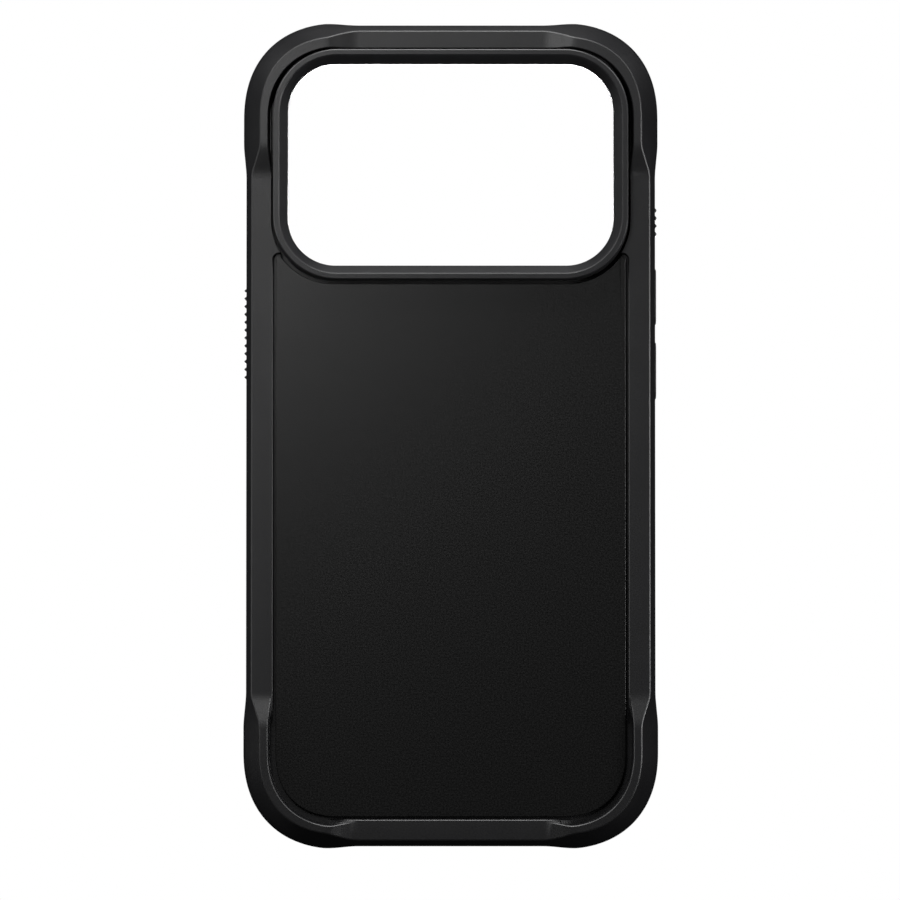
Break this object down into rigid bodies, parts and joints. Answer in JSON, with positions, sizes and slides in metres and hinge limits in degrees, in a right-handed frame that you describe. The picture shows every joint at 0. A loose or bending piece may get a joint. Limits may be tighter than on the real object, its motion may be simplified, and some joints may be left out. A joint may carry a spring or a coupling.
{
  "type": "phone case",
  "caption": "Rugged phone case: soft bumper with raised corners, hard inner shell, flat back panel, camera ring and sliding side buttons.",
  "frame": {"origin": "middle of the outline, on the plane of the front lip that the case rests on when it lies face down", "axes": "+Z out of the back, +Y along the length towards the camera end, +X to the right as seen from behind"},
  "size_m": [0.0782, 0.1556, 0.0149],
  "materials": {
    "soft_frame": "satin moulded texture",
    "hard_shell": "matte",
    "back_panel": "fine-grained soft-touch matte",
    "camera_ring": "satin, fine texture",
    "button_caps": "satin",
    "button_pads": "matte",
    "lining": "brushed microfibre",
    "adhesive_sheet": "translucent film",
    "magnet": "nickel plated"
  },
  "bodies": {
    "case_frame": {"bumper": "soft_frame", "inner_shell": "hard_shell", "back_panel": "back_panel", "camera_ring": "camera_ring", "camera_ring_adhesive": "adhesive_sheet", "panel_adhesive": "adhesive_sheet", "microfibre_lining": "lining", "magnet_film": "adhesive_sheet", "alignment_magnet": "magnet", "ring_magnet_01": "magnet", "ring_magnet_02": "magnet", "ring_magnet_03": "magnet", "ring_magnet_04": "magnet", "ring_magnet_05": "magnet", "ring_magnet_06": "magnet", "ring_magnet_07": "magnet", "ring_magnet_08": "magnet", "ring_magnet_09": "magnet", "ring_magnet_10": "magnet", "ring_magnet_11": "magnet", "ring_magnet_12": "magnet", "ring_magnet_13": "magnet", "ring_magnet_14": "magnet", "ring_magnet_15": "magnet", "ring_magnet_16": "magnet", "ring_magnet_17": "magnet", "ring_magnet_18": "magnet"},
    "power_button": {"power_button_cap": "button_caps", "power_button_pad": "button_pads"},
    "action_button": {"action_button_cap": "button_caps", "action_button_pad": "button_pads"},
    "volume_up": {"volume_up_cap": "button_caps", "volume_up_pad": "button_pads"},
    "volume_down": {"volume_down_cap": "button_caps", "volume_down_pad": "button_pads"}
  },
  "joints": [
    {"name": "power_button_press", "type": "slide", "parent": "case_frame", "child": "power_button", "axis": [1, 0, 0], "range_m": [0, 0.00035], "stiffness_N_per_m": 2},
    {"name": "action_button_press", "type": "slide", "parent": "case_frame", "child": "action_button", "axis": [-1, 0, 0], "range_m": [0, 0.00035], "stiffness_N_per_m": 2},
    {"name": "volume_up_press", "type": "slide", "parent": "case_frame", "child": "volume_up", "axis": [-1, 0, 0], "range_m": [0, 0.00035], "stiffness_N_per_m": 2},
    {"name": "volume_down_press", "type": "slide", "parent": "case_frame", "child": "volume_down", "axis": [-1, 0, 0], "range_m": [0, 0.00035], "stiffness_N_per_m": 2}
  ]
}
